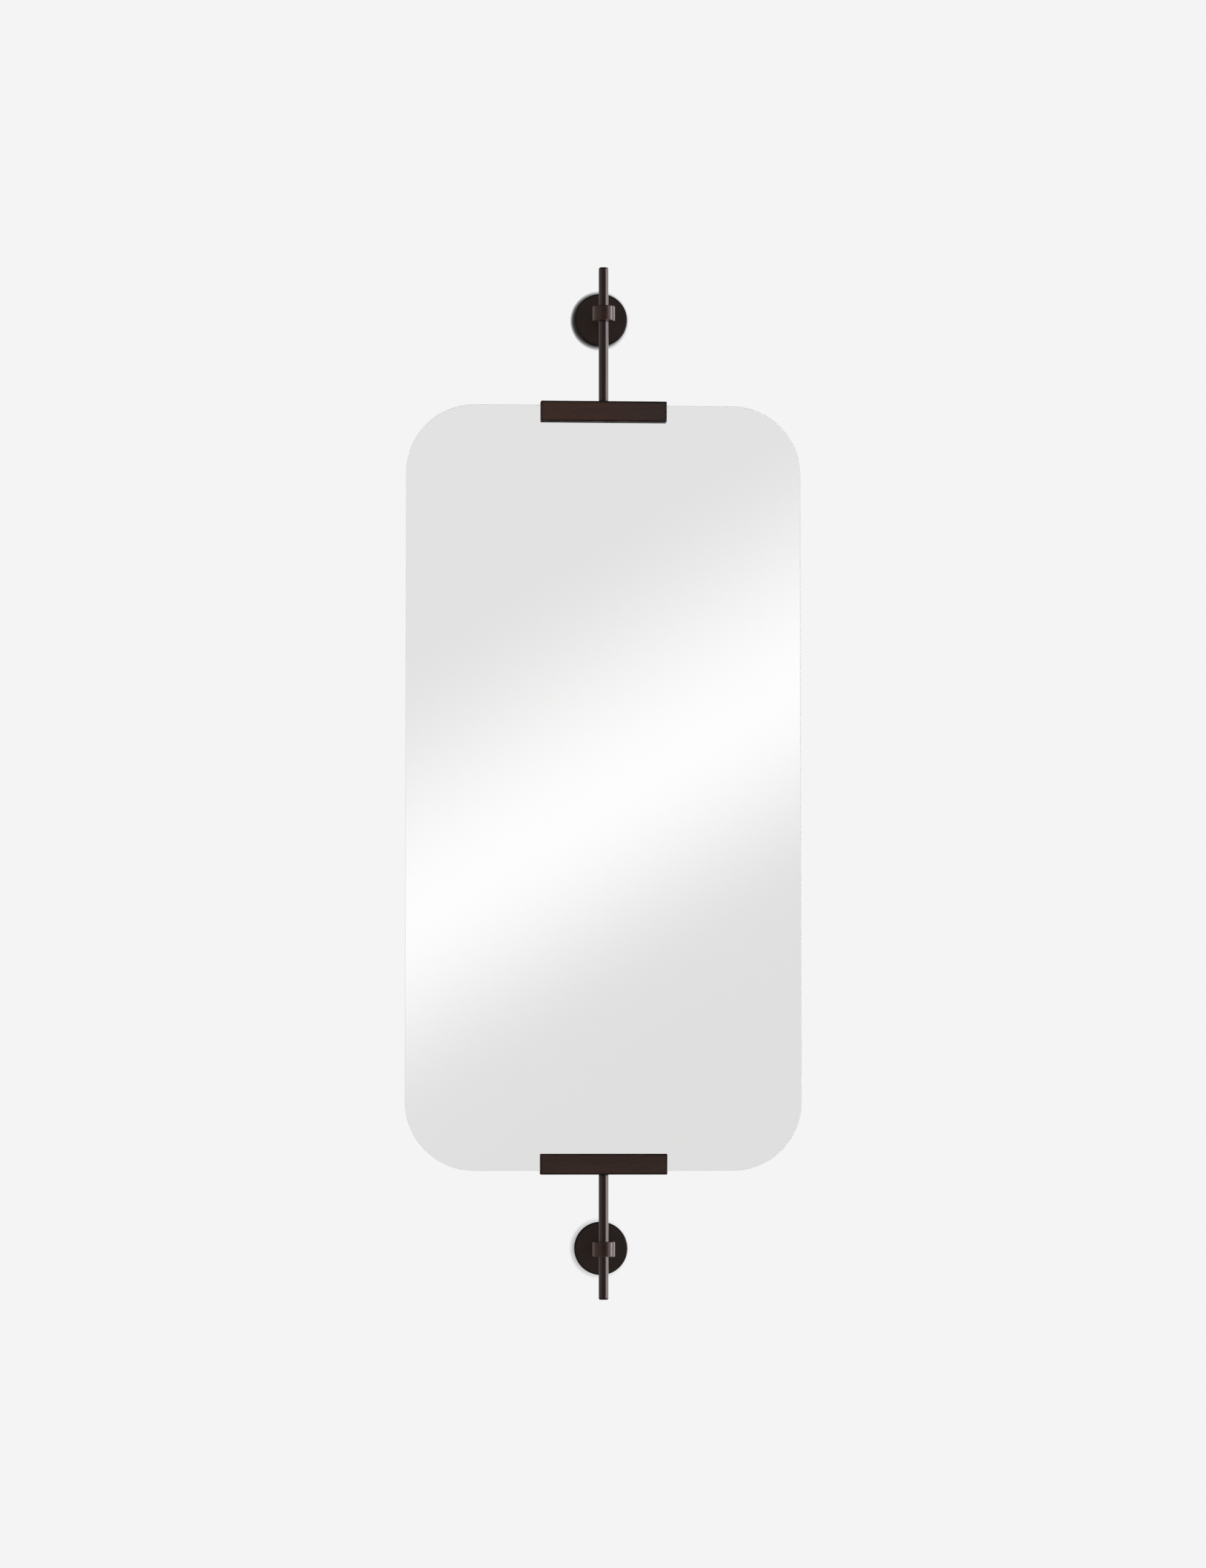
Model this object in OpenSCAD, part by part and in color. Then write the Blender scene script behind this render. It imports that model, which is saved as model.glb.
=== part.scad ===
// Pivot wall mirror: a frameless mirror that turns about two upright rods held off the wall.
// Origin on the wall, midway between the two wall plates. +Z is up and the mirror faces -Y.

/* [Mirror] */
// Width of the glass
mirror_w = 610; // [450:5:800]
// Height of the glass
mirror_h = 1181; // [700:1:1500]
// Thickness of the glass
glass_t = 6; // [4:0.5:8]
// Radius of the glass's corners
corner_r = 106; // [20:1:200]
// Width of the ground arris along the edges of the glass
arris = 0.5; // [0.3:0.1:1.8]
// Thickness of the backing coat and safety film
backing_t = 0.5; // [0.3:0.1:1]
// Distance from the edge of the glass to the edge of the film
backing_inset = 1.5; // [0.5:0.5:6]

/* [Clamp bars] */
// Length of each bar, across the mirror
bar_w = 195; // [150:5:300]
// Height of each bar
bar_h = 32; // [26:1:50]
// Metal in front of the glass
bar_front_wall = 4; // [3:0.5:6]
// Metal behind the pressure strip
bar_back_wall = 4; // [3:0.5:6]
// Metal between the rod and the slot
bar_bridge = 5; // [4:0.5:8]
// Bevel along the outer edges of each bar
bar_chamfer = 1.2; // [0.5:0.1:1.6]
// Thickness of the rubber liner
liner_t = 1; // [0.5:0.25:2]
// Setback of the liner from the ends and lip of the bar
liner_recess = 0.8; // [0.5:0.1:3]
// Thickness of the pressure strip
strip_t = 2; // [1.5:0.5:4]
// Height of the pressure strip
strip_h = 18; // [12:1:20]
// Setback of the pressure strip from the ends of the bar
strip_recess = 5; // [2:1:12]
// Room for the pressure strip to move as the screws tighten
clamp_travel = 0.5; // [0.2:0.1:1]
// Number of clamp screws in each bar
clamp_screws_n = 3; // [2:1:5]
// Distance from the ends of the bar to the outer clamp screws
clamp_screw_margin = 32; // [12:1:50]
// Diameter of the clamp screws
clamp_screw_d = 5; // [4:1:6]

/* [Rods] */
// Diameter of both rods
rod_d = 15; // [13:0.5:16]
// Length of the top rod, from the bar to its free end
top_rod_len = 209; // [180:1:260]
// Length of the bottom rod, from the bar to its free end
bottom_rod_len = 191; // [160:1:260]
// Bevel round the free end of each rod
rod_chamfer = 1.5; // [0.5:0.1:3]
// Diameter of the stud that joins rod and bar
stud_d = 6; // [5:1:8]
// Length of the stud inside the rod
stud_in_rod = 12; // [8:1:20]
// Depth of the retaining groove
groove_depth = 1.2; // [0.8:0.1:2]

/* [Swivels] */
// Distance from the wall to the axis of the rods
wall_gap = 75; // [60:1:120]
// Distance from the top bar to the middle of the top collar
top_reach = 137; // [60:1:150]
// Distance from the bottom bar to the middle of the bottom collar
bottom_reach = 114; // [60:1:130]
// Height of each collar
collar_h = 23; // [21:1:36]
// Metal between the bush and the outside of the collar
collar_wall = 8; // [7:0.5:12]
// Bevel round both ends of the collar
collar_chamfer = 0.8; // [0.4:0.1:1.5]
// Wall of the bush
bush_wall = 2; // [1.5:0.5:4]
// Setback of the bush from the ends of the collar
bush_recess = 1; // [0.5:0.5:3]
// Diameter of the post
post_d = 16; // [12:1:18]
// Depth to which the whole of the post's end is let into the collar
post_inset = 0.4; // [0.2:0.1:1]
// Diameter of the spigot that screws into the collar
spigot_d = 8; // [6:1:10]
// Diameter of the friction and retaining screws
swivel_screw_d = 5; // [4:1:6]
// Height of the friction screw above the collar's middle, and of the retaining screw below it
swivel_screw_offset = 5.5; // [4:0.5:6]
// Angle of both screws from the back of the collar
swivel_screw_angle = 62; // [50:1:90]
// Diameter of the nylon friction pad
pad_d = 3.6; // [2.5:0.1:3.8]
// Length of the friction pad
pad_len = 4; // [3:0.5:5]
// Diameter of the retaining screw's dog point
dog_d = 3.2; // [2.5:0.1:3.6]

/* [Wall plates] */
// Diameter of each wall plate
plate_d = 82; // [70:1:120]
// Depth of each wall plate
plate_depth = 12; // [12:0.5:20]
// Thickness of the plate's front
plate_front = 2.5; // [2:0.25:4]
// Thickness of the plate's rim
plate_rim = 3.5; // [3:0.25:6]
// Bevel round the plate's front edge
plate_chamfer = 1.6; // [0.5:0.1:2]
// Depth of the post's seat in the plate
post_recess = 0.8; // [0.4:0.1:1.2]
// Diameter of the screw that holds the post
post_screw_d = 6; // [5:1:8]
// Length of the post screw inside the post
post_screw_in = 12; // [8:1:20]
// Height of the post screw's head
post_screw_head_h = 3; // [2:0.1:3.4]
// Thickness of the mounting disc
disc_t = 5.5; // [5:0.25:6]
// Diameter of the holes for the wall screws
wall_hole_d = 5.5; // [4:0.5:7]
// Diameter of the countersinks for the wall screws
wall_countersink_d = 10.5; // [8:0.5:11]
// Distance between the two wall screws of a disc
wall_hole_pitch = 40; // [30:1:46]
// Diameter of the screw that locks the plate on the disc
plate_grub_d = 4; // [3:1:4]
// Depth of the groove round the disc for that screw
disc_groove_depth = 1.2; // [0.8:0.1:2]

/* [Clearances] */
// Radial play of the rod in its bush
bearing_gap = 0.05; // [0.02:0.01:0.09]
// Radial play of a screw in its tapped hole
thread_gap = 0.05; // [0.02:0.01:0.1]
// Radial gap of the bush in the collar
press_gap = 0.02; // [0.01:0.01:0.05]
// Radial gap round the post in its seats
seat_gap = 0.1; // [0.05:0.05:0.3]
// Radial gap between mounting disc and wall plate
cover_gap = 0.2; // [0.1:0.1:0.4]
// Gap round the dog point and the friction pad, and behind the tip of each screw
tip_gap = 0.3; // [0.2:0.05:0.5]
// Depth of a screw's end below the surface
screw_recess = 0.3; // [0.2:0.1:1]

/* [Hidden] */
$fn = 96;
ends = ["top", "bottom"];
// How far a cut runs past the face that it opens
cut_past = 1;

// Bars, measured from the rod's axis: -Y is the front
bar_depth = bar_front_wall + liner_t + glass_t + backing_t + liner_t + strip_t + clamp_travel + bar_back_wall;
bar_front_y = -bar_depth / 2;
bar_back_y = bar_depth / 2;
slot_front_y = bar_front_y + bar_front_wall;
slot_back_y = bar_back_y - bar_back_wall;
glass_front_y = slot_front_y + liner_t;
glass_back_y = glass_front_y + glass_t;
backing_back_y = glass_back_y + backing_t;
strip_front_y = backing_back_y + liner_t;
strip_back_y = strip_front_y + strip_t;
slot_depth = bar_h - bar_bridge;
slot_mid_z = -bar_bridge - slot_depth / 2;
clamp_screw_pitch = (bar_w - 2 * clamp_screw_margin) / (clamp_screws_n - 1);

// Heights
glass_edge_drop = bar_bridge + liner_t;
bracket_span = top_reach + bottom_reach + mirror_h + 2 * glass_edge_drop;
top_bar_z = bracket_span / 2 - top_reach;
bottom_bar_z = -bracket_span / 2 + bottom_reach;
glass_mid_z = (top_bar_z + bottom_bar_z) / 2;

// Collar, bush and rod, measured from the rod's axis
rod_r = rod_d / 2;
bush_bore_r = rod_r + bearing_gap;
bush_seat_r = rod_r + bush_wall;
collar_r = bush_seat_r + collar_wall;
post_seat_r = sqrt(pow(collar_r, 2) - pow(post_d / 2 + seat_gap, 2)) - post_inset;
spigot_floor = 1;
spigot_len = post_seat_r - bush_seat_r - spigot_floor;
pad_end_r = bush_bore_r + pad_len;
groove_r = rod_r - groove_depth;
groove_w = dog_d + 2 * tip_gap;
dog_shoulder_r = bush_seat_r + tip_gap;
swivel_screw_end_r = sqrt(pow(collar_r, 2) - pow(swivel_screw_d / 2, 2)) - screw_recess;

// Wall plate, measured from the wall
plate_r = plate_d / 2;
plate_inner_r = plate_r - plate_rim;
disc_r = plate_inner_r - cover_gap;
disc_groove_r = disc_r - disc_groove_depth;
plate_grub_y = disc_t / 2;
plate_inside = plate_depth - plate_front;
post_start = plate_depth - post_recess;
post_len = wall_gap - post_seat_r - post_start;

// Screws, as shares of their diameter; a socket is measured across its corners
socket_share = 0.58;
socket_depth_share = 0.45;
tip_bevel_share = 0.1;
head_share = 1.75;

function rod_len(end) = end == "top" ? top_rod_len : bottom_rod_len;
function reach(end) = end == "top" ? top_reach : bottom_reach;
// Height of the retaining groove on a rod, measured from its bar outwards
function groove_z(end) = reach(end) + (end == "top" ? -1 : 1) * swivel_screw_offset;

bronze = "#3a2f2a";
steel = "#8f9296";
bearing_bronze = "#9a6f3c";
rubber = "#1c1c1d";
nylon = "#e6e2d6";
aluminium = "#b9bcc0";
mirror_silver = "#dfe3e4";
film_grey = "#6f7478";

// ---- Places ----

module on_rod_axis() {
    translate([0, -wall_gap, 0]) children();
}

// On the wall behind a collar
module at_bracket(end) {
    translate([0, 0, (end == "top" ? 1 : -1) * bracket_span / 2]) children();
}

// On the rod's axis at a bar's outer face, with +Z pointing away from the glass
module at_bar(end) {
    if (end == "top") on_rod_axis() translate([0, 0, top_bar_z]) children();
    if (end == "bottom") on_rod_axis() translate([0, 0, bottom_bar_z]) mirror([0, 0, 1]) children();
}

// Turns +Z to face the room, so that heights become distances from the wall
module out_of_wall() {
    rotate([90, 0, 0]) children();
}

// Along a radius of the collar, turned from its back by an angle
module collar_radius(angle, z) {
    translate([0, 0, z]) rotate([0, 0, angle]) rotate([-90, 0, 0]) children();
}

module at_friction_screw() {
    on_rod_axis() collar_radius(swivel_screw_angle, swivel_screw_offset) children();
}

module at_retaining_screw() {
    on_rod_axis() collar_radius(-swivel_screw_angle, -swivel_screw_offset) children();
}

module at_clamp_screws() {
    for (i = [0 : clamp_screws_n - 1])
        translate([clamp_screw_margin - bar_w / 2 + i * clamp_screw_pitch, 0, slot_mid_z])
            rotate([-90, 0, 0])
                children();
}

// ---- Shared shapes ----

// Section of a plate from an inner line to its arrissed edge
module edge_section(reach_to, thickness, bevel) {
    polygon([
        [0, 0], [reach_to - bevel, 0], [reach_to, bevel],
        [reach_to, thickness - bevel], [reach_to - bevel, thickness], [0, thickness]
    ]);
}

// Upright plate with round corners and a bevelled edge, its front at y = 0
module round_cornered_plate(w, h, thickness, r, bevel) {
    rotate([90, 0, 180]) {
        for (side = [0, 180])
            rotate([0, 0, side]) {
                translate([0, h / 2 - r, 0])
                    rotate([90, 0, 0])
                        linear_extrude(h - 2 * r) edge_section(w / 2, thickness, bevel);
                translate([r - w / 2, h / 2 - r, 0])
                    rotate([90, 0, 90])
                        linear_extrude(w - 2 * r) edge_section(r, thickness, bevel);
                translate([w / 2 - r, h / 2 - r, 0])
                    rotate_extrude(angle = 90) edge_section(r, thickness, bevel);
                translate([r - w / 2, h / 2 - r, 0])
                    rotate([0, 0, 90])
                        rotate_extrude(angle = 90) edge_section(r, thickness, bevel);
            }
    }
}

module bevelled_rectangle(w, h, bevel) {
    polygon([
        [-w / 2 + bevel, -h / 2], [w / 2 - bevel, -h / 2], [w / 2, -h / 2 + bevel], [w / 2, h / 2 - bevel],
        [w / 2 - bevel, h / 2], [-w / 2 + bevel, h / 2], [-w / 2, h / 2 - bevel], [-w / 2, -h / 2 + bevel]
    ]);
}

// Block with all twelve edges bevelled
module bevelled_block(size, bevel) {
    intersection() {
        linear_extrude(size.z, center = true) bevelled_rectangle(size.x, size.y, bevel);
        rotate([90, 0, 0]) linear_extrude(size.y, center = true) bevelled_rectangle(size.x, size.z, bevel);
        rotate([90, 0, 90]) linear_extrude(size.x, center = true) bevelled_rectangle(size.y, size.z, bevel);
    }
}

// Headless screw with its tip at z = 0 and a hexagon socket in its far end
module grub_screw(d, length, tip_bevel) {
    r = d / 2 - thread_gap;
    socket_depth = d * socket_depth_share;
    difference() {
        rotate_extrude()
            polygon([[0, 0], [r - tip_bevel, 0], [r, tip_bevel], [r, length], [0, length]]);
        translate([0, 0, length - socket_depth])
            cylinder(d = d * socket_share, h = socket_depth + cut_past, $fn = 6);
    }
}

// ---- The part that turns ----

module mirror_glass() {
    color(mirror_silver)
        on_rod_axis()
            translate([0, glass_front_y, glass_mid_z])
                round_cornered_plate(mirror_w, mirror_h, glass_t, corner_r, arris);
}

module mirror_backing() {
    color(film_grey)
        on_rod_axis()
            translate([0, glass_back_y, glass_mid_z])
                round_cornered_plate(
                    mirror_w - 2 * backing_inset, mirror_h - 2 * backing_inset,
                    backing_t, corner_r - backing_inset, backing_t / 4
                );
}

module rod(end) {
    length = rod_len(end);
    groove_low = groove_z(end) - groove_w / 2;
    groove_high = groove_z(end) + groove_w / 2;
    color(bronze)
        difference() {
            rotate_extrude()
                polygon([
                    [0, 0], [rod_r, 0],
                    [rod_r, groove_low], [groove_r, groove_low],
                    [groove_r, groove_high], [rod_r, groove_high],
                    [rod_r, length - rod_chamfer], [rod_r - rod_chamfer, length], [0, length]
                ]);
            translate([0, 0, -cut_past]) cylinder(d = stud_d, h = cut_past + stud_in_rod + tip_gap);
        }
}

// Its socket opens into the slot, so that it can be driven before the glass goes in
module rod_stud() {
    color(steel)
        translate([0, 0, stud_in_rod])
            mirror([0, 0, 1])
                grub_screw(stud_d, stud_in_rod + bar_bridge - screw_recess, stud_d * tip_bevel_share);
}

module clamp_bar() {
    color(bronze)
        difference() {
            translate([0, 0, -bar_h / 2]) bevelled_block([bar_w, bar_depth, bar_h], bar_chamfer);
            translate([-bar_w / 2 - cut_past, slot_front_y, -bar_h - cut_past])
                cube([bar_w + 2 * cut_past, slot_back_y - slot_front_y, slot_depth + cut_past]);
            translate([0, 0, -bar_bridge - cut_past]) cylinder(d = stud_d, h = bar_bridge + 2 * cut_past);
            at_clamp_screws()
                translate([0, 0, slot_back_y - cut_past])
                    cylinder(d = clamp_screw_d, h = bar_back_wall + 2 * cut_past);
        }
}

module edge_liner() {
    length = bar_w - 2 * liner_recess;
    height = slot_depth - liner_recess;
    color(rubber)
        translate([-length / 2, slot_front_y, -bar_bridge - height])
            difference() {
                cube([length, strip_front_y - slot_front_y, height]);
                translate([-cut_past, liner_t, -cut_past])
                    cube([
                        length + 2 * cut_past, backing_back_y - glass_front_y,
                        height - liner_t + cut_past
                    ]);
            }
}

module pressure_strip() {
    length = bar_w - 2 * strip_recess;
    color(aluminium)
        translate([-length / 2, strip_front_y, slot_mid_z - strip_h / 2])
            cube([length, strip_t, strip_h]);
}

module clamp_screws() {
    color(steel)
        at_clamp_screws()
            translate([0, 0, strip_back_y])
                grub_screw(
                    clamp_screw_d, clamp_travel + bar_back_wall - screw_recess,
                    clamp_screw_d * tip_bevel_share
                );
}

// ---- A wall bracket ----

module mounting_disc() {
    groove_half_w = disc_groove_depth;
    countersink_depth = (wall_countersink_d - wall_hole_d) / 2;
    color(steel)
        out_of_wall()
            difference() {
                rotate_extrude()
                    polygon([
                        [0, 0], [disc_r, 0], [disc_r, plate_grub_y - groove_half_w],
                        [disc_groove_r, plate_grub_y], [disc_r, plate_grub_y + groove_half_w],
                        [disc_r, disc_t], [0, disc_t]
                    ]);
                for (side = [-1, 1])
                    translate([side * wall_hole_pitch / 2, 0, 0]) {
                        translate([0, 0, -cut_past]) cylinder(d = wall_hole_d, h = disc_t + 2 * cut_past);
                        translate([0, 0, disc_t - countersink_depth])
                            cylinder(d1 = wall_hole_d, d2 = wall_countersink_d, h = countersink_depth);
                    }
            }
}

module wall_plate() {
    color(bronze)
        out_of_wall()
            difference() {
                rotate_extrude()
                    polygon([
                        [0, plate_inside], [plate_inner_r, plate_inside], [plate_inner_r, 0], [plate_r, 0],
                        [plate_r, plate_depth - plate_chamfer], [plate_r - plate_chamfer, plate_depth],
                        [0, plate_depth]
                    ]);
                translate([0, 0, post_start]) cylinder(d = post_d + 2 * seat_gap, h = post_recess + cut_past);
                translate([0, 0, plate_inside - cut_past])
                    cylinder(d = post_screw_d + 2 * seat_gap, h = plate_front + 2 * cut_past);
                translate([0, 0, plate_grub_y])
                    rotate([90, 0, 0])
                        translate([0, 0, disc_groove_r]) cylinder(d = plate_grub_d, h = plate_r);
            }
}

// Cone-pointed, from the underside of the rim into the disc's groove
module plate_grub_screw() {
    tip_r = disc_groove_r + tip_gap;
    end_r = plate_r - screw_recess - pow(plate_grub_d / 2, 2) / plate_d;
    color(steel)
        out_of_wall()
            translate([0, 0, plate_grub_y])
                rotate([90, 0, 0])
                    translate([0, 0, tip_r])
                        grub_screw(plate_grub_d, end_r - tip_r, plate_grub_d / 2 - 2 * thread_gap);
}

module post() {
    color(bronze)
        out_of_wall()
            difference() {
                union() {
                    translate([0, 0, post_start]) cylinder(d = post_d, h = post_len);
                    translate([0, 0, post_start])
                        cylinder(d = spigot_d - 2 * thread_gap, h = post_len + spigot_len - tip_gap);
                }
                translate([0, 0, post_start - cut_past])
                    cylinder(d = post_screw_d, h = cut_past + post_screw_in + tip_gap);
            }
}

module post_screw() {
    head_r = post_screw_d * head_share / 2;
    shank_r = post_screw_d / 2 - thread_gap;
    head_bevel = post_screw_d * tip_bevel_share;
    tip = post_start + post_screw_in;
    head_back = plate_inside - post_screw_head_h;
    color(steel)
        out_of_wall()
            difference() {
                rotate_extrude()
                    polygon([
                        [0, head_back], [head_r - head_bevel, head_back], [head_r, head_back + head_bevel],
                        [head_r, plate_inside], [shank_r, plate_inside],
                        [shank_r, tip - head_bevel], [shank_r - head_bevel, tip], [0, tip]
                    ]);
                translate([0, 0, head_back - cut_past])
                    cylinder(
                        d = post_screw_d * socket_share, h = cut_past + post_screw_head_h / 2, $fn = 6
                    );
            }
}

module collar() {
    color(bronze)
        on_rod_axis()
            difference() {
                rotate_extrude()
                    polygon([
                        [bush_seat_r, -collar_h / 2], [collar_r - collar_chamfer, -collar_h / 2],
                        [collar_r, -collar_h / 2 + collar_chamfer], [collar_r, collar_h / 2 - collar_chamfer],
                        [collar_r - collar_chamfer, collar_h / 2], [bush_seat_r, collar_h / 2]
                    ]);
                collar_radius(0, 0) {
                    translate([0, 0, post_seat_r]) cylinder(d = post_d + 2 * seat_gap, h = collar_r);
                    translate([0, 0, bush_seat_r + spigot_floor]) cylinder(d = spigot_d, h = collar_r);
                }
                collar_radius(swivel_screw_angle, swivel_screw_offset)
                    cylinder(d = swivel_screw_d, h = collar_r);
                collar_radius(-swivel_screw_angle, -swivel_screw_offset)
                    cylinder(d = swivel_screw_d, h = collar_r);
            }
}

module bush() {
    bush_h = collar_h - 2 * bush_recess;
    color(bearing_bronze)
        on_rod_axis()
            difference() {
                cylinder(r = bush_seat_r - press_gap, h = bush_h, center = true);
                cylinder(r = bush_bore_r, h = collar_h, center = true);
                collar_radius(swivel_screw_angle, swivel_screw_offset)
                    cylinder(d = pad_d + 2 * seat_gap, h = collar_r);
                collar_radius(-swivel_screw_angle, -swivel_screw_offset)
                    cylinder(d = dog_d + 2 * seat_gap, h = collar_r);
            }
}

module friction_screw() {
    color(steel)
        at_friction_screw()
            translate([0, 0, pad_end_r])
                grub_screw(swivel_screw_d, swivel_screw_end_r - pad_end_r, swivel_screw_d * tip_bevel_share);
}

// Worn to the curve of the rod at its tip
module friction_pad() {
    color(nylon)
        difference() {
            at_friction_screw() cylinder(d = pad_d, h = pad_end_r);
            on_rod_axis() cylinder(r = bush_bore_r, h = collar_h, center = true);
        }
}

module retaining_screw() {
    dog_len = dog_shoulder_r - groove_r - tip_gap;
    color(steel)
        at_retaining_screw() {
            translate([0, 0, dog_shoulder_r])
                grub_screw(
                    swivel_screw_d, swivel_screw_end_r - dog_shoulder_r,
                    swivel_screw_d * tip_bevel_share
                );
            translate([0, 0, groove_r + tip_gap]) cylinder(d = dog_d, h = dog_len + screw_recess);
        }
}

// ---- What is drawn ----

mirror_glass();
mirror_backing();

for (end = ends) {
    at_bar(end) rod(end);
    at_bar(end) rod_stud();
    at_bar(end) clamp_bar();
    at_bar(end) edge_liner();
    at_bar(end) pressure_strip();
    at_bar(end) clamp_screws();

    at_bracket(end) mounting_disc();
    at_bracket(end) wall_plate();
    at_bracket(end) plate_grub_screw();
    at_bracket(end) post();
    at_bracket(end) post_screw();
    at_bracket(end) collar();
    at_bracket(end) bush();
    at_bracket(end) friction_screw();
    at_bracket(end) friction_pad();
    at_bracket(end) retaining_screw();
}
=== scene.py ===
import math

import bmesh
import bpy
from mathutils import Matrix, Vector


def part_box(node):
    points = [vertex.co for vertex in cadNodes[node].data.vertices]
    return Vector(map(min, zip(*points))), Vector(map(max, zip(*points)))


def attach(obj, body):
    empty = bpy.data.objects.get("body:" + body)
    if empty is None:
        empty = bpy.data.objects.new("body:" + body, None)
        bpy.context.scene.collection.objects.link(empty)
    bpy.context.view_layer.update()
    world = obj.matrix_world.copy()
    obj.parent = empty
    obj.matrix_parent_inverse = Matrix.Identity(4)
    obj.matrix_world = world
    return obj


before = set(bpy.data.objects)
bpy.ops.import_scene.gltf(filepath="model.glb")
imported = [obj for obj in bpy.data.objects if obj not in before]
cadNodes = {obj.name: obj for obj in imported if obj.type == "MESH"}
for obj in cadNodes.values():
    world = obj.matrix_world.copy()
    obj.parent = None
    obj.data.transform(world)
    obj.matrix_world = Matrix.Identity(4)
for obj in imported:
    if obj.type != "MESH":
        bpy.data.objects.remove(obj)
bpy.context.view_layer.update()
scene = bpy.context.scene
glassLow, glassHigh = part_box("mirror_glass")
rodLow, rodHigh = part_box("top_rod")
rodAxis = Vector(((rodLow.x + rodHigh.x) / 2, (rodLow.y + rodHigh.y) / 2, 0))
print("stage: frame loaded,", len(cadNodes), "nodes")


def feed(tree, node, values):
    # another node's output is linked to the socket, and a plain value is set on it
    for name, value in values.items():
        if isinstance(value, bpy.types.NodeSocket):
            tree.links.new(value, node.inputs[name])
        else:
            node.inputs[name].default_value = value


def addNode(tree, kind, values=None, **settings):
    node = tree.nodes.new(kind)
    for name, value in settings.items():
        setattr(node, name, value)
    feed(tree, node, values or {})
    return node


def addMath(tree, operation, *values, clamp=False):
    node = addNode(tree, "ShaderNodeMath", dict(enumerate(values)), operation=operation, use_clamp=clamp)
    return node.outputs[0]


def addVectorMath(tree, operation, *values):
    # the second value is a number when a vector is scaled, and a dot product gives a number
    names = (0, "Scale") if operation == "SCALE" else (0, 1)
    node = addNode(tree, "ShaderNodeVectorMath", dict(zip(names, values)), operation=operation)
    return node.outputs["Value" if operation == "DOT_PRODUCT" else "Vector"]


def addMix(tree, factor, first, second):
    # this node's colour sockets come after those for numbers and vectors
    return addNode(tree, "ShaderNodeMix", {0: factor, 6: first, 7: second}, data_type="RGBA").outputs[2]


def addRange(tree, value, old, new, smooth=True):
    limits = {"From Min": old[0], "From Max": old[1], "To Min": new[0], "To Max": new[1]}
    kind = "SMOOTHSTEP" if smooth else "LINEAR"
    node = addNode(tree, "ShaderNodeMapRange", dict(limits, Value=value), interpolation_type=kind)
    return node.outputs["Result"]


def newGroup(name, inputs, outputs):
    group = bpy.data.node_groups.new(name, "ShaderNodeTree")
    for socketName, kind, value in inputs:
        socket = group.interface.new_socket(socketName, in_out="INPUT", socket_type=kind)
        socket.default_value = value
    for socketName, kind in outputs:
        group.interface.new_socket(socketName, in_out="OUTPUT", socket_type=kind)
    return group, group.nodes.new("NodeGroupInput").outputs, group.nodes.new("NodeGroupOutput")


def placeGroup(tree, group, values):
    return addNode(tree, "ShaderNodeGroup", values, node_tree=group).outputs


def newMaterial(name, settings):
    material = bpy.data.materials.new(name)
    material.use_nodes = True
    shader = material.node_tree.nodes["Principled BSDF"]
    feed(material.node_tree, shader, settings)
    return material, material.node_tree, shader


def grey(tone):
    return (tone, tone, tone, 1)


def bothEnds(piece):
    return ["top_" + piece, "bottom_" + piece]


def paint(material, names):
    for name in names:
        for slot in cadNodes[name].material_slots:
            slot.material = material


patinaShape = {
    "cloudNoise": {"Detail": 4.0, "Roughness": 0.6},
    "mottleNoise": {"Detail": 5.0, "Roughness": 0.65, "Distortion": 0.6},
    "mottleShare": 0.45,
    "steepness": 3.2,  # how quickly the noise turns from one colour to the other
}


def makePatina():
    # slow clouds between two colours, with a finer mottle over them, both drawn out along the grain
    group, inside, outside = newGroup(
        "Patina",
        [("Light", "NodeSocketColor", (0.1, 0.1, 0.1, 1)),
         ("Dark", "NodeSocketColor", (0.02, 0.02, 0.02, 1)),
         ("Grain", "NodeSocketVector", (1.0, 1.0, 1.0)),
         ("Cloud Size", "NodeSocketFloat", 12.0),
         ("Mottle Size", "NodeSocketFloat", 160.0),
         ("Contrast", "NodeSocketFloat", 1.0),
         ("Drift", "NodeSocketVector", (0.0, 0.0, 0.0))],
        [("Color", "NodeSocketColor")],
    )
    place = addNode(group, "ShaderNodeTexCoord").outputs["Object"]
    drawn = addVectorMath(group, "MULTIPLY", place, inside["Grain"])
    clouds = addNode(group, "ShaderNodeTexNoise", {"Vector": drawn, "Scale": inside["Cloud Size"]})
    feed(group, clouds, patinaShape["cloudNoise"])
    mottle = addNode(group, "ShaderNodeTexNoise", {"Vector": drawn, "Scale": inside["Mottle Size"]})
    feed(group, mottle, patinaShape["mottleNoise"])
    # both noises lie around a half, so half of what each adds is taken off again
    share = patinaShape["mottleShare"]
    steepness = patinaShape["steepness"]
    fine = addMath(group, "MULTIPLY_ADD", mottle.outputs["Fac"], share, -share / 2)
    both = addMath(group, "ADD", clouds.outputs["Fac"], fine)
    swing = addMath(group, "MULTIPLY_ADD", both, steepness, -steepness / 2)
    # the drift leans one side of the piece to the lighter colour
    middle = addMath(group, "ADD", addVectorMath(group, "DOT_PRODUCT", place, inside["Drift"]), 0.5)
    mask = addMath(group, "MULTIPLY_ADD", swing, inside["Contrast"], middle, clamp=True)
    feed(group, outside, {"Color": addMix(group, mask, inside["Dark"], inside["Light"])})
    return group


edgeShape = {
    "bevelSamples": 6,
    # cosines at which an edge starts and is complete: against the rounded edge, and against the main faces
    "roundedTurn": (0.998, 0.95),
    "bevelTurn": (0.99, 0.94),
    "wearAndShadeNoise": {"Detail": 6.0, "Roughness": 0.7},
    "wearAndShadeRange": (0.3, 0.6),
    "wearAndShadeLeast": 0.5,
}


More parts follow.
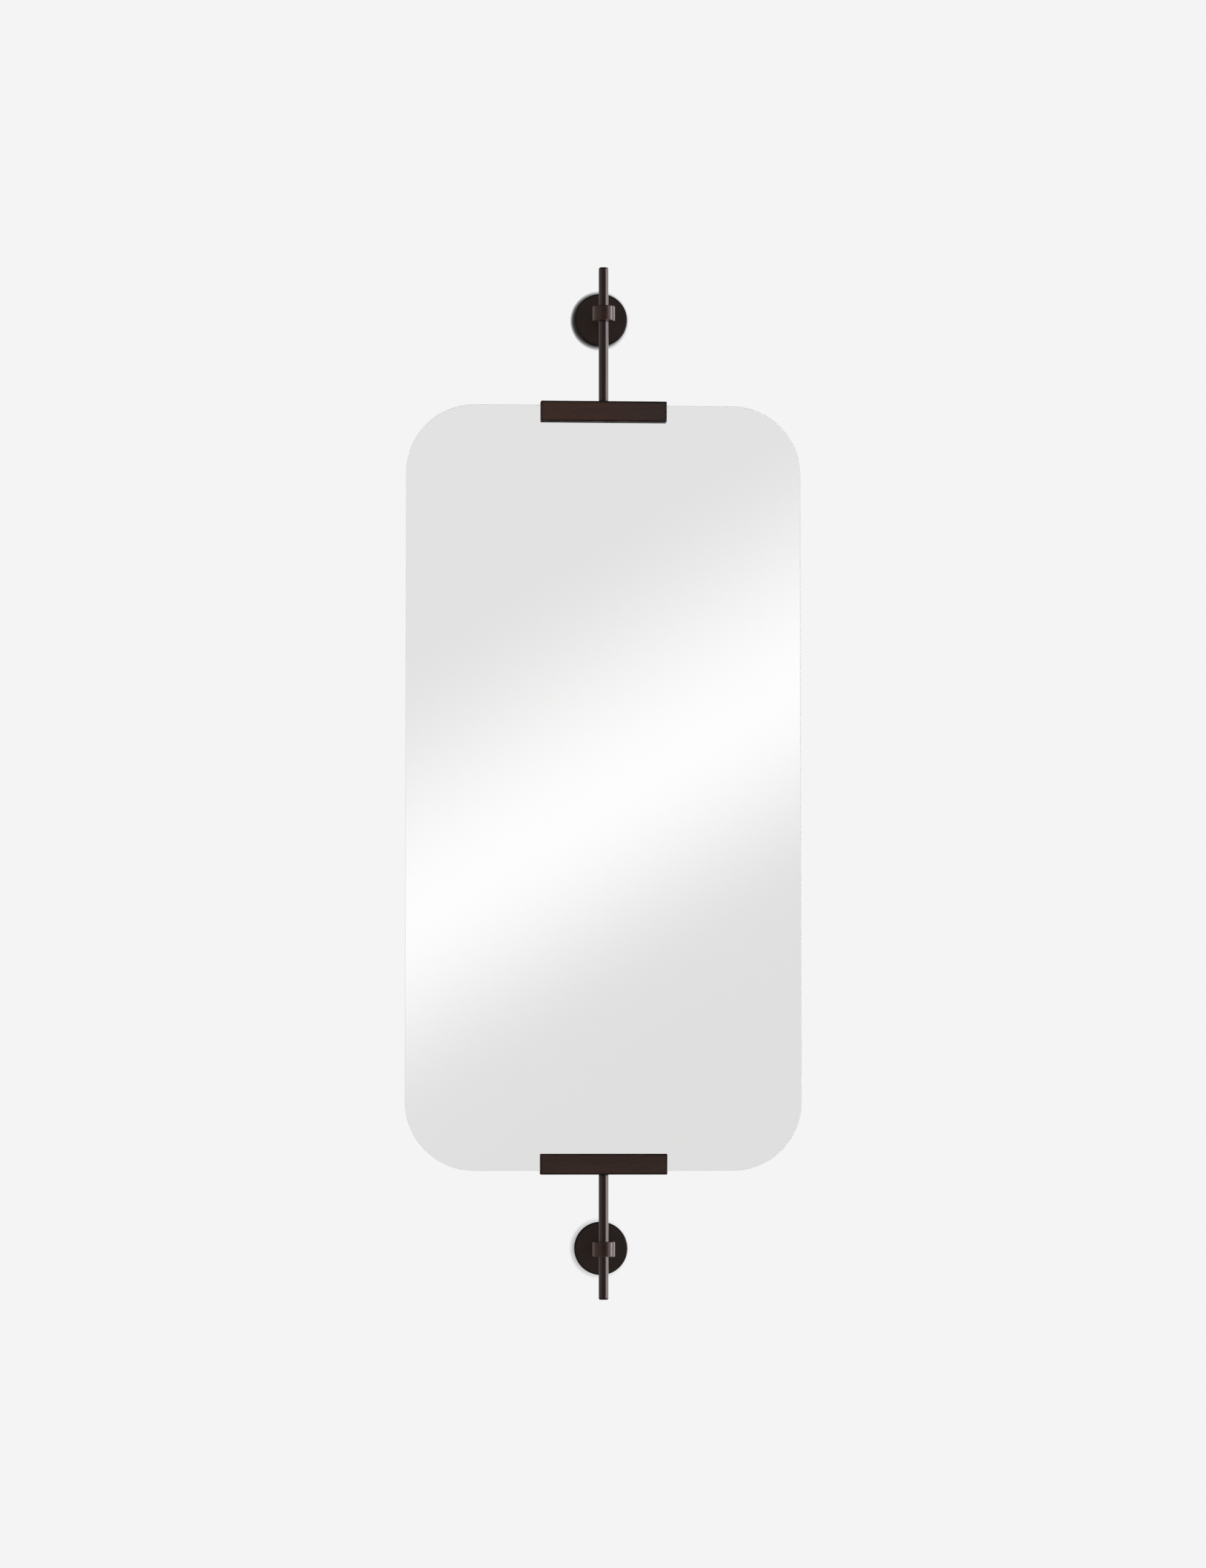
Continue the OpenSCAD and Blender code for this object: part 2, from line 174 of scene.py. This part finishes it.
def makeEdgeLine():
    # marks the narrow bevels between the main faces, and the faces themselves close to an edge, where the
    # bronze takes its painted edge shade and worn lacquer
    group, inside, outside = newGroup(
        "Edge line",
        [("Width", "NodeSocketFloat", 0.001),
         ("Strength", "NodeSocketFloat", 1.0),
         ("Face Axis", "NodeSocketVector", (0.0, 1.0, 0.0)),
         ("Patch Size", "NodeSocketFloat", 90.0)],
        [("Mask", "NodeSocketFloat")],
    )
    shape = edgeShape
    rounded = addNode(group, "ShaderNodeBevel", {"Radius": inside["Width"]}, samples=shape["bevelSamples"])
    flat = addNode(group, "ShaderNodeNewGeometry").outputs["Normal"]
    agreement = addVectorMath(group, "DOT_PRODUCT", rounded.outputs["Normal"], flat)
    nearEdge = addRange(group, agreement, shape["roundedTurn"], (0.0, 1.0))
    # a bevel faces neither along the axis nor square to it
    place = addNode(group, "ShaderNodeTexCoord").outputs
    cosine = addVectorMath(group, "DOT_PRODUCT", place["Normal"], inside["Face Axis"])
    along = addMath(group, "ABSOLUTE", cosine)
    across = addMath(group, "SQRT", addMath(group, "SUBTRACT", 1.0, addMath(group, "MULTIPLY", along, along)))
    onBevel = addRange(group, addMath(group, "MAXIMUM", along, across), shape["bevelTurn"], (0.0, 1.0))
    edge = addMath(group, "MAXIMUM", nearEdge, onBevel)
    # the line, with the painted edge shade, is broken up in patches
    wearAndShadePatches = addNode(group, "ShaderNodeTexNoise", {"Vector": place["Object"], "Scale": inside["Patch Size"]})
    feed(group, wearAndShadePatches, shape["wearAndShadeNoise"])
    broken = addRange(group, wearAndShadePatches.outputs["Fac"], shape["wearAndShadeRange"], (shape["wearAndShadeLeast"], 1.0))
    line = addMath(group, "MULTIPLY", edge, broken)
    feed(group, outside, {"Mask": addMath(group, "MULTIPLY", line, inside["Strength"], clamp=True)})
    return group


brushingNoise = {"Detail": 3.0, "Roughness": 0.55}


def makeBrushing():
    # fine lines drawn out along one axis by stretching a noise
    group, inside, outside = newGroup(
        "Brushing",
        [("Stretch", "NodeSocketVector", (1.0, 1.0, 1.0)),
         ("Scale", "NodeSocketFloat", 900.0),
         ("Low", "NodeSocketFloat", 0.25),
         ("High", "NodeSocketFloat", 0.4)],
        [("Height", "NodeSocketFloat"), ("Roughness", "NodeSocketFloat")],
    )
    place = addNode(group, "ShaderNodeTexCoord").outputs["Object"]
    stretched = addVectorMath(group, "MULTIPLY", place, inside["Stretch"])
    noise = addNode(group, "ShaderNodeTexNoise", {"Vector": stretched, "Scale": inside["Scale"]})
    feed(group, noise, brushingNoise)
    lines = noise.outputs["Fac"]
    span = addMath(group, "SUBTRACT", inside["High"], inside["Low"])
    rough = addMath(group, "MULTIPLY_ADD", lines, span, inside["Low"])
    feed(group, outside, {"Height": lines, "Roughness": rough})
    return group


def makeSoftEdge():
    # sharp edges catch the light as if they were very slightly rounded
    group, inside, outside = newGroup(
        "Soft edge",
        [("Radius", "NodeSocketFloat", 0.0004)],
        [("Normal", "NodeSocketVector")],
    )
    samples = edgeShape["bevelSamples"]
    rounded = addNode(group, "ShaderNodeBevel", {"Radius": inside["Radius"]}, samples=samples)
    feed(group, outside, {"Normal": rounded.outputs["Normal"]})
    return group


patinaGroup = makePatina()
edgeLineGroup = makeEdgeLine()
brushingGroup = makeBrushing()
softEdgeGroup = makeSoftEdge()
print("stage: shared effects built")


def placePatina(tree, look):
    return placeGroup(tree, patinaGroup, {
        "Light": look["light"],
        "Dark": look["dark"],
        "Grain": look.get("grain", (1, 1, 1)),
        "Cloud Size": look["cloudSize"],
        "Mottle Size": look["mottleSize"],
        "Contrast": look["contrast"],
        "Drift": look.get("drift", (0, 0, 0)),
    })["Color"]


def placeBrushing(tree, look):
    low, high = look["roughness"]
    return placeGroup(tree, brushingGroup, {"Stretch": look["stretch"], "Scale": look["lineScale"],
                                            "Low": low, "High": high})


def addRelief(tree, height, look):
    # a bump over edges that are rounded by a fraction of a millimetre
    soft = placeGroup(tree, softEdgeGroup, {"Radius": look["edgeRadius"]})
    bump = addNode(tree, "ShaderNodeBump", {"Strength": 1.0, "Distance": look["relief"],
                                            "Normal": soft["Normal"], "Height": height})
    return bump.outputs["Normal"]


bronzeLook = {
    "ior": 1.5,
    "specular": 0.05,
    "coatIor": 1.5,
    "mottleSize": 420.0,
    "contrast": 0.8,
    "lineScale": 700.0,
    "edgeRadius": 0.0004,
}


def makeBronze(name, look):
    # a dark patina under clear lacquer; the lacquer is worn off the edges, which are dull, and the edges are
    # painted darker as painted shade
    look = dict(bronzeLook, stretch=look["grain"], **look)
    material, tree, shader = newMaterial(name, {
        "IOR": look["ior"],
        "Specular IOR Level": look["specular"],
        "Coat IOR": look["coatIor"],
        "Coat Roughness": look["coatRoughness"],
    })
    edges = placeGroup(tree, edgeLineGroup, {"Width": look["edgeWidth"], "Strength": look["edgeStrength"],
                                             "Face Axis": look["faceAxis"]})["Mask"]
    lines = placeBrushing(tree, look)
    # the brushed lines are a little lighter and darker in turn
    lineTone = addMath(tree, "MULTIPLY_ADD", lines["Height"], look["streaks"], 1 - look["streaks"] / 2)
    brushed = addVectorMath(tree, "SCALE", placePatina(tree, look), lineTone)
    # the edge colour is painted shade: a dark line along the edges
    feed(tree, shader, {
        "Base Color": addMix(tree, edges, brushed, look["edgeShadeColor"]),
        "Roughness": lines["Roughness"],
        "Coat Weight": addMath(tree, "SUBTRACT", 1.0, edges, clamp=True),
        "Normal": addRelief(tree, lines["Height"], look),
    })
    return material


barLook = {
    "light": (0.043, 0.0188, 0.0135, 1),
    "dark": (0.0235, 0.019, 0.0165, 1),
    "grain": (0.08, 1, 1),
    "faceAxis": (0, 1, 0),
    "drift": (-4.5, 0, 0),
    "cloudSize": 55.0,
    "contrast": 0.95,
    "streaks": 0.7,
    "edgeShadeColor": (0.005, 0.0035, 0.003, 1),
    "edgeWidth": 0.005,
    "edgeStrength": 1.0,
    "roughness": (0.34, 0.5),
    "coatRoughness": 0.24,
    "relief": 0.000012,
}
# the lower bar is more even, and a little redder in its dark parts
lowerBarLook = dict(
    barLook,
    light=(0.039, 0.0185, 0.013, 1),
    dark=(0.028, 0.014, 0.0105, 1),
    drift=(0, 0, 0),
)
paint(makeBronze("upper bar bronze", barLook), ["top_clamp_bar"])
paint(makeBronze("lower bar bronze", lowerBarLook), ["bottom_clamp_bar"])

rodLook = {
    "light": (0.013, 0.0038, 0.0042, 1),
    "dark": (0.0085, 0.0018, 0.0018, 1),
    "grain": (1, 1, 0.05),
    "faceAxis": (0, 0, 1),
    "cloudSize": 60.0,
    "streaks": 0.4,
    "edgeShadeColor": (0.003, 0.0015, 0.0015, 1),
    "edgeWidth": 0.0036,
    "edgeStrength": 1.0,
    "roughness": (0.28, 0.36),
    "coatIor": 1.6,
    "coatRoughness": 0.14,
    "relief": 0.000003,
}
paint(makeBronze("rod bronze", rodLook), bothEnds("rod"))

collarLook = {
    "light": (0.027, 0.0117, 0.0087, 1),
    "dark": (0.0187, 0.0067, 0.005, 1),
    "grain": (0.3, 0.3, 1),
    "faceAxis": (0, 0, 1),
    "cloudSize": 60.0,
    "streaks": 0.5,
    "edgeShadeColor": (0.006, 0.003, 0.0025, 1),
    "edgeWidth": 0.0008,
    "edgeStrength": 0.15,
    "roughness": (0.26, 0.34),
    "coatRoughness": 0.17,
    "relief": 0.000004,
}
paint(makeBronze("collar bronze", collarLook), bothEnds("collar"))

# the post's bronze is a copy of the collar's made about three times lighter, as painted light against the
# shade the post stands in between plate and collar
postLightenedLook = dict(
    collarLook,
    light=(0.085, 0.064, 0.052, 1),
    dark=(0.055, 0.04, 0.032, 1),
    coatRoughness=0.3,
)
paint(makeBronze("post bronze painted lighter", postLightenedLook), bothEnds("post"))

plateLook = {
    "light": (0.0237, 0.0137, 0.0099, 1),
    "dark": (0.0182, 0.0104, 0.0075, 1),
    "grain": (1, 1, 1),
    "faceAxis": (0, 1, 0),
    "cloudSize": 40.0,
    "streaks": 0.6,
    "edgeShadeColor": (0.005, 0.003, 0.0026, 1),
    "edgeWidth": 0.0024,
    "edgeStrength": 0.9,
    "roughness": (0.34, 0.5),
    "coatRoughness": 0.28,
    "relief": 0.00001,
}
paint(makeBronze("plate bronze", plateLook), bothEnds("wall_plate"))
print("stage: bronze finish on the fittings")


def makeTwoTone(name, look):
    # two close tones in soft clouds, with fine lines or grain in the gloss and the relief
    material, tree, shader = newMaterial(name, look["surface"])
    lines = placeBrushing(tree, look)
    feed(tree, shader, {
        "Base Color": placePatina(tree, look),
        "Roughness": lines["Roughness"],
        "Normal": addRelief(tree, lines["Height"], look),
    })
    return material


# most of these pieces stay hidden inside the bars, collars and plates
metalLook = {
    "surface": {"Metallic": 1.0},
    "cloudSize": 40.0,
    "mottleSize": 500.0,
    "contrast": 0.8,
    "lineScale": 1500.0,
    "relief": 0.00002,
    "edgeRadius": 0.0002,
}
steelLook = dict(
    metalLook,
    light=(0.52, 0.53, 0.55, 1),
    dark=(0.34, 0.35, 0.37, 1),
    stretch=(1, 1, 1),
    roughness=(0.28, 0.5),
)
bushLook = dict(
    metalLook,
    light=(0.34, 0.2, 0.1, 1),
    dark=(0.17, 0.095, 0.045, 1),
    stretch=(0.2, 0.2, 1),
    roughness=(0.3, 0.5),
)
stripLook = dict(
    metalLook,
    light=(0.66, 0.67, 0.69, 1),
    dark=(0.5, 0.51, 0.53, 1),
    stretch=(0.05, 1, 1),
    roughness=(0.3, 0.45),
)
zincSteel = makeTwoTone("zinc steel", steelLook)
for piece in ("mounting_disc", "plate_grub_screw", "post_screw", "friction_screw", "retaining_screw",
              "rod_stud", "clamp_screws"):
    paint(zincSteel, bothEnds(piece))
paint(makeTwoTone("bearing bronze", bushLook), bothEnds("bush"))
paint(makeTwoTone("mill aluminium", stripLook), bothEnds("pressure_strip"))

softLook = {
    "surface": {"IOR": 1.45},
    "cloudSize": 60.0,
    "mottleSize": 900.0,
    "contrast": 0.9,
    "stretch": (1, 1, 1),
    "lineScale": 2200.0,
    "edgeRadius": 0.0002,
}
linerLook = dict(
    softLook,
    light=(0.022, 0.022, 0.023, 1),
    dark=(0.01, 0.01, 0.011, 1),
    roughness=(0.55, 0.8),
    relief=0.00003,
)
padLook = dict(
    softLook,
    light=(0.82, 0.79, 0.7, 1),
    dark=(0.72, 0.68, 0.58, 1),
    roughness=(0.4, 0.55),
    relief=0.00002,
)
paint(makeTwoTone("black rubber", linerLook), bothEnds("edge_liner"))
paint(makeTwoTone("natural nylon", padLook), bothEnds("friction_pad"))
print("stage: screws, bushes, liners and pads finished")


filmLook = {
    "surface": {"IOR": 1.46},
    "light": (0.165, 0.175, 0.185, 1),
    "dark": (0.12, 0.128, 0.137, 1),
    "cloudSize": 9.0,
    "mottleSize": 120.0,
    "contrast": 0.3,
    "stretch": (1, 1, 0.25),
    "lineScale": 420.0,
    "roughness": (0.34, 0.52),
    "relief": 0.00006,
    "edgeRadius": 0.0002,
}
paint(makeTwoTone("safety film", filmLook), ["mirror_backing"])

glassLook = {
    "tint": (0.994, 0.999, 0.996, 1),
    "ior": 1.52,
    "hazeScale": 7.0,
    "haze": (0.0, 0.006),
    "groundRoughness": 0.92,
    # cosines against the faces at which the ground edge starts and is complete
    "groundTurn": (0.98, 0.9),
}


def makeClearGlass():
    # polished on both faces, ground on the narrow sides and arrises
    look = glassLook
    material, tree, shader = newMaterial("clear glass", {
        "Base Color": look["tint"],
        "Transmission Weight": 1.0,
        "IOR": look["ior"],
        "Metallic": 0.0,
    })
    haze = placeGroup(tree, brushingGroup, {"Scale": look["hazeScale"],
                                            "Low": look["haze"][0], "High": look["haze"][1]})
    normal = addNode(tree, "ShaderNodeTexCoord").outputs["Normal"]
    facing = addMath(tree, "ABSOLUTE", addNode(tree, "ShaderNodeSeparateXYZ", {0: normal}).outputs["Y"])
    ground = addRange(tree, facing, look["groundTurn"], (0.0, look["groundRoughness"]))
    feed(tree, shader, {"Roughness": addMath(tree, "ADD", haze["Roughness"], ground)})
    return material


paint(makeClearGlass(), ["mirror_glass"])

silverLook = {
    "light": (0.972, 0.968, 0.968, 1),
    "dark": (0.962, 0.958, 0.958, 1),
    "cloudSize": 3.0,
    "mottleSize": 40.0,
    "contrast": 0.3,
    "setIn": 0.0006,  # from the outline of the glass
    "depth": 0.00006,  # from its back
    "thickness": 0.00004,
    "cornerSteps": 48,
    "sideTolerance": 0.00001,
}


def makeSilver():
    material, tree, shader = newMaterial("silver layer", {"Metallic": 1.0, "Roughness": 0.0})
    feed(tree, shader, {"Base Color": placePatina(tree, silverLook)})
    return material


def cornerRadius():
    # read from the glass: the highest point of its side edge is where the corner starts
    side = glassHigh.x - silverLook["sideTolerance"]
    sideTop = max(v.co.z for v in cadNodes["mirror_glass"].data.vertices if v.co.x > side)
    return glassHigh.z - sideTop


def roundCorneredOutline(low, high, radius, steps):
    points = []
    left, right = low.x + radius, high.x - radius
    bottom, top = low.z + radius, high.z - radius
    centres = ((right, top, 0), (left, top, 90), (left, bottom, 180), (right, bottom, 270))
    for centreX, centreZ, start in centres:
        for step in range(steps + 1):
            angle = math.radians(start + 90 * step / steps)
            points.append((centreX + radius * math.cos(angle), centreZ + radius * math.sin(angle)))
    return points


def makeSilverLayer():
    # a thin coat just inside the back of the glass, which gives the mirror image
    look = silverLook
    setIn = Vector((look["setIn"], 0, look["setIn"]))
    outline = roundCorneredOutline(glassLow + setIn, glassHigh - setIn, cornerRadius() - setIn.x,
                                   look["cornerSteps"])
    backY = glassHigh.y - look["depth"]
    build = bmesh.new()
    back = build.faces.new([build.verts.new((x, backY, z)) for x, z in outline])
    moved = bmesh.ops.extrude_face_region(build, geom=[back])["geom"]
    for vert in (part for part in moved if isinstance(part, bmesh.types.BMVert)):
        vert.co.y -= look["thickness"]
    bmesh.ops.recalc_face_normals(build, faces=build.faces)
    mesh = bpy.data.meshes.new("silver_layer")
    build.to_mesh(mesh)
    build.free()
    mesh.materials.append(makeSilver())
    layer = bpy.data.objects.new("silver_layer", mesh)
    scene.collection.objects.link(layer)
    return layer


silverLayer = makeSilverLayer()
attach(silverLayer, "mirror_leaf")
print("stage: mirror glass, silver and film")


paleLook = {
    "tone": 0.905,  # of wall, floor and backdrop alike, so that no edge shows
    "width": 30.0,
    "shadeSamples": 16,
}


def makePaleMaterial(name, addShade):
    # shines evenly by itself except where it is shaded, and isn't there when it is seen from behind
    material = bpy.data.materials.new(name)
    material.use_nodes = True
    tree = material.node_tree
    tree.nodes.clear()
    color = addMix(tree, addShade(tree), grey(0.0), grey(paleLook["tone"]))
    lit = addNode(tree, "ShaderNodeEmission", {"Color": color, "Strength": 1.0})
    clear = addNode(tree, "ShaderNodeBsdfTransparent")
    behind = addNode(tree, "ShaderNodeNewGeometry").outputs["Backfacing"]
    shown = addNode(tree, "ShaderNodeMixShader", {0: behind, 1: lit.outputs[0], 2: clear.outputs[0]})
    addNode(tree, "ShaderNodeOutputMaterial", {"Surface": shown.outputs[0]})
    return material


def addContactShade(tree, depth, inputs):
    # less than one where something stands close
    contact = addNode(tree, "ShaderNodeAmbientOcclusion", inputs, samples=paleLook["shadeSamples"])
    return addMath(tree, "POWER", contact.outputs["AO"], depth)


def makeSheet(name, corners, material):
    mesh = bpy.data.meshes.new(name)
    mesh.from_pydata(corners, [], [(0, 1, 2, 3)])
    mesh.materials.append(material)
    sheet = bpy.data.objects.new(name, mesh)
    scene.collection.objects.link(sheet)
    # it neither lights the object nor shows in it: that is left to the world
    sheet.visible_diffuse = False
    sheet.visible_glossy = False
    sheet.visible_transmission = False
    sheet.visible_shadow = False


wallLook = {
    "height": 12.0,
    "gap": 0.0003,  # behind the backs of the mounting discs
    # contact shade: (at the lower bracket, at the upper one)
    "shadeHeights": (-0.8, 0.8),
    "shadeReach": (0.0082, 0.0068),
    "shadeDepth": (0.5, 4.2),
    "shadeRise": (0.2, 0.0),
    "shadeAside": 1.1,
}


def addWallShade(tree):
    # darker where something stands close to the wall on the lit side
    look = wallLook
    place = addNode(tree, "ShaderNodeNewGeometry").outputs["Position"]
    height = addNode(tree, "ShaderNodeSeparateXYZ", {0: place}).outputs["Z"]

    def byHeight(values):
        return addRange(tree, height, look["shadeHeights"], values, smooth=False)

    lean = addNode(tree, "ShaderNodeCombineXYZ", {"X": look["shadeAside"], "Y": -1.0,
                                                  "Z": byHeight(look["shadeRise"])})
    return addContactShade(tree, byHeight(look["shadeDepth"]), {
        "Distance": byHeight(look["shadeReach"]),
        "Normal": addVectorMath(tree, "NORMALIZE", lean.outputs[0]),
    })


def makeWall():
    aside, up, back = paleLook["width"] / 2, wallLook["height"] / 2, wallLook["gap"]
    corners = [(-aside, back, -up), (aside, back, -up), (aside, back, up), (-aside, back, up)]
    makeSheet("wall", corners, makePaleMaterial("pale wall", addWallShade))


makeWall()
print("stage: wall")


floorLook = {
    "drop": 1.5,  # below the middle of the mirror
    "depth": 24.0,
    "shadeReach": 1.2,
    "shadeDepth": 1.5,
}


def addFloorShade(tree):
    # a faint shade under the object
    return addContactShade(tree, floorLook["shadeDepth"], {"Distance": floorLook["shadeReach"]})


def makeFloor():
    # as wide as the wall, and meets it
    aside, front, back, low = paleLook["width"] / 2, -floorLook["depth"], wallLook["gap"], -floorLook["drop"]
    corners = [(-aside, front, low), (aside, front, low), (aside, back, low), (-aside, back, low)]
    makeSheet("floor", corners, makePaleMaterial("pale floor", addFloorShade))


makeFloor()
print("stage: floor")


aroundLook = {
    # what metal sees round about: angle from straight ahead of the wall, to the right, and tone
    "tones": ((-180, 0.0), (-162, 0.06), (-145, 0.34), (-130, 0.55), (-110, 0.58), (-80, 0.42), (-42, 0.4),
              (-22, 0.2), (14, 0.1), (33, 0.5), (50, 1.6), (72, 2.6), (88, 2.4), (102, 1.4), (128, 1.7),
              (158, 0.8), (180, 0.1)),
    "leftHue": (1.08, 0.96, 0.86, 1),
    "rightHue": (1.04, 0.94, 0.93, 1),
    "leftness": (0.0, -0.5),
    "steepness": (0.2, 0.75),
    "aboveTone": 0.12,
    "belowTone": 0.6,
}


def addRoomAround(tree, axes):
    # once round the room is from 0 to 1, with straight ahead of the wall at a half
    look = aroundLook
    angle = addMath(tree, "ARCTAN2", axes["X"], addMath(tree, "MULTIPLY", axes["Y"], -1.0))
    turn = addMath(tree, "MULTIPLY_ADD", angle, 0.5 / math.pi, 0.5)
    ramp = addNode(tree, "ShaderNodeValToRGB", {"Fac": turn})
    ramp.color_ramp.interpolation = "EASE"
    stops = ramp.color_ramp.elements
    while len(stops) < len(look["tones"]):
        stops.new(1.0)
    for stop, (degrees, tone) in zip(stops, look["tones"]):
        stop.position = degrees / 360 + 0.5
        stop.color = grey(tone)
    # dimmer high up and low down, and a little warmer on the left
    start, end = look["steepness"]
    above = addRange(tree, axes["Z"], (start, end), (1.0, look["aboveTone"]))
    below = addRange(tree, axes["Z"], (-start, -end), (1.0, look["belowTone"]))
    warmth = addRange(tree, axes["X"], look["leftness"], (0.0, 1.0))
    hue = addMix(tree, warmth, look["rightHue"], look["leftHue"])
    tinted = addVectorMath(tree, "MULTIPLY", ramp.outputs["Color"], hue)
    return addVectorMath(tree, "SCALE", tinted, addMath(tree, "MULTIPLY", above, below))


mirroredLook = {
    "leastAhead": 0.05,
    "slope": 0.607,
    "offset": 0.0229,
    "peak": 1.063,
    # how the band ahead falls off: to which side, how far, and how much darker it gets there
    "falls": ((1, 0.0505, 0.24), (-1, 0.0393, 0.212), (-1, 0.059, 0.053)),
    # more bands well to the sides, which the mirror shows when it or the viewer turns: place and reach
    "sideBands": ((-0.77, 0.09), (-0.31, 0.062), (0.26, 0.062)),
    "sideTone": 0.22,
}


def addMirroredRoom(tree, axes):
    # what the mirror sees: a pale room crossed by soft slanting bands of light, one of them straight ahead
    look = mirroredLook
    ahead = addMath(tree, "MAXIMUM", addMath(tree, "MULTIPLY", axes["Y"], -1.0), look["leastAhead"])
    across = addMath(tree, "DIVIDE", axes["X"], ahead)
    up = addMath(tree, "DIVIDE", axes["Z"], ahead)
    lean = addMath(tree, "MULTIPLY_ADD", across, -look["slope"], up)
    offset = addMath(tree, "SUBTRACT", lean, look["offset"])
    tone = look["peak"]
    for side, reach, depth in look["falls"]:
        fall = addRange(tree, addMath(tree, "MULTIPLY", offset, side), (0.0, reach), (0.0, depth))
        tone = addMath(tree, "SUBTRACT", tone, fall)
    for middle, reach in look["sideBands"]:
        away = addMath(tree, "ABSOLUTE", addMath(tree, "SUBTRACT", offset, middle))
        tone = addMath(tree, "ADD", tone, addRange(tree, away, (0.0, reach), (look["sideTone"], 0.0)))
    return tone


worldLook = {
    "plain": 0.97,
}


def makeWorld():
    # plain light for the object, with a room of its own for metal and for the mirror
    world = bpy.data.worlds.new("studio")
    scene.world = world
    world.use_nodes = True
    tree = world.node_tree
    tree.nodes.clear()
    direction = addNode(tree, "ShaderNodeTexCoord").outputs["Generated"]
    axes = addNode(tree, "ShaderNodeSeparateXYZ", {0: direction}).outputs
    rays = addNode(tree, "ShaderNodeLightPath").outputs
    seen = addMix(tree, rays["Is Glossy Ray"], grey(worldLook["plain"]), addRoomAround(tree, axes))
    seen = addMix(tree, rays["Is Transmission Ray"], seen, addMirroredRoom(tree, axes))
    seen = addMix(tree, rays["Is Camera Ray"], seen, grey(paleLook["tone"]))
    background = addNode(tree, "ShaderNodeBackground", {"Color": seen, "Strength": 1.0})
    addNode(tree, "ShaderNodeOutputWorld", {"Surface": background.outputs[0]})


def aim(thing, target):
    thing.rotation_euler = (Vector(target) - thing.location).to_track_quat("-Z", "Y").to_euler()


keyLook = {
    "angle": 84.0,  # from straight ahead of the wall, to the right
    "distance": 2.6,
    "width": 0.7,
    "height": 2.6,
    "middle": 0.2,
    "radiance": 5.6,
    "hue": (1.0, 0.93, 0.92),
    "spread": 100.0,
}


def makeKeyLamp():
    look = keyLook
    lamp = bpy.data.lights.new("key", "AREA")
    lamp.shape = "RECTANGLE"
    lamp.size = look["width"]
    lamp.size_y = look["height"]
    # narrowed towards the object; the power is its radiance straight ahead times pi times its area,
    # less what the narrowing takes away
    lamp.spread = math.radians(look["spread"])
    kept = 1 - (lamp.spread / 2) / math.tan(lamp.spread / 2)
    lamp.energy = look["radiance"] * math.pi * look["width"] * look["height"] * kept
    lamp.color = look["hue"]
    key = bpy.data.objects.new("key", lamp)
    scene.collection.objects.link(key)
    angle = math.radians(look["angle"])
    away = Vector((math.sin(angle), -math.cos(angle), 0)) * look["distance"]
    middle = rodAxis + Vector((0, 0, look["middle"]))
    key.location = middle + away
    aim(key, middle)
    key.visible_camera = False


makeWorld()
makeKeyLamp()
print("stage: light")


cameraPlan = {
    "aimAcross": -0.0009,
    "aimUp": -0.0077,
    "across": -0.53,
    "up": -0.544,
    "distance": 8.45,
    "lens": 126.45,
    "sensor": 36.0,
    "farEnd": 200,
}


def makeCamera():
    # stands below the middle of the mirror and a little to its left
    plan = cameraPlan
    target = rodAxis + Vector((plan["aimAcross"], 0, plan["aimUp"]))
    camera = bpy.data.cameras.new("camera")
    camera.sensor_fit = "VERTICAL"
    camera.sensor_height = plan["sensor"]
    camera.lens = plan["lens"]
    camera.clip_end = plan["farEnd"]
    holder = bpy.data.objects.new("camera", camera)
    scene.collection.objects.link(holder)
    holder.location = target + Vector((plan["across"], -plan["distance"], plan["up"]))
    aim(holder, target)
    scene.camera = holder


makeCamera()
scene.view_settings.view_transform = "Standard"
print("stage: camera")
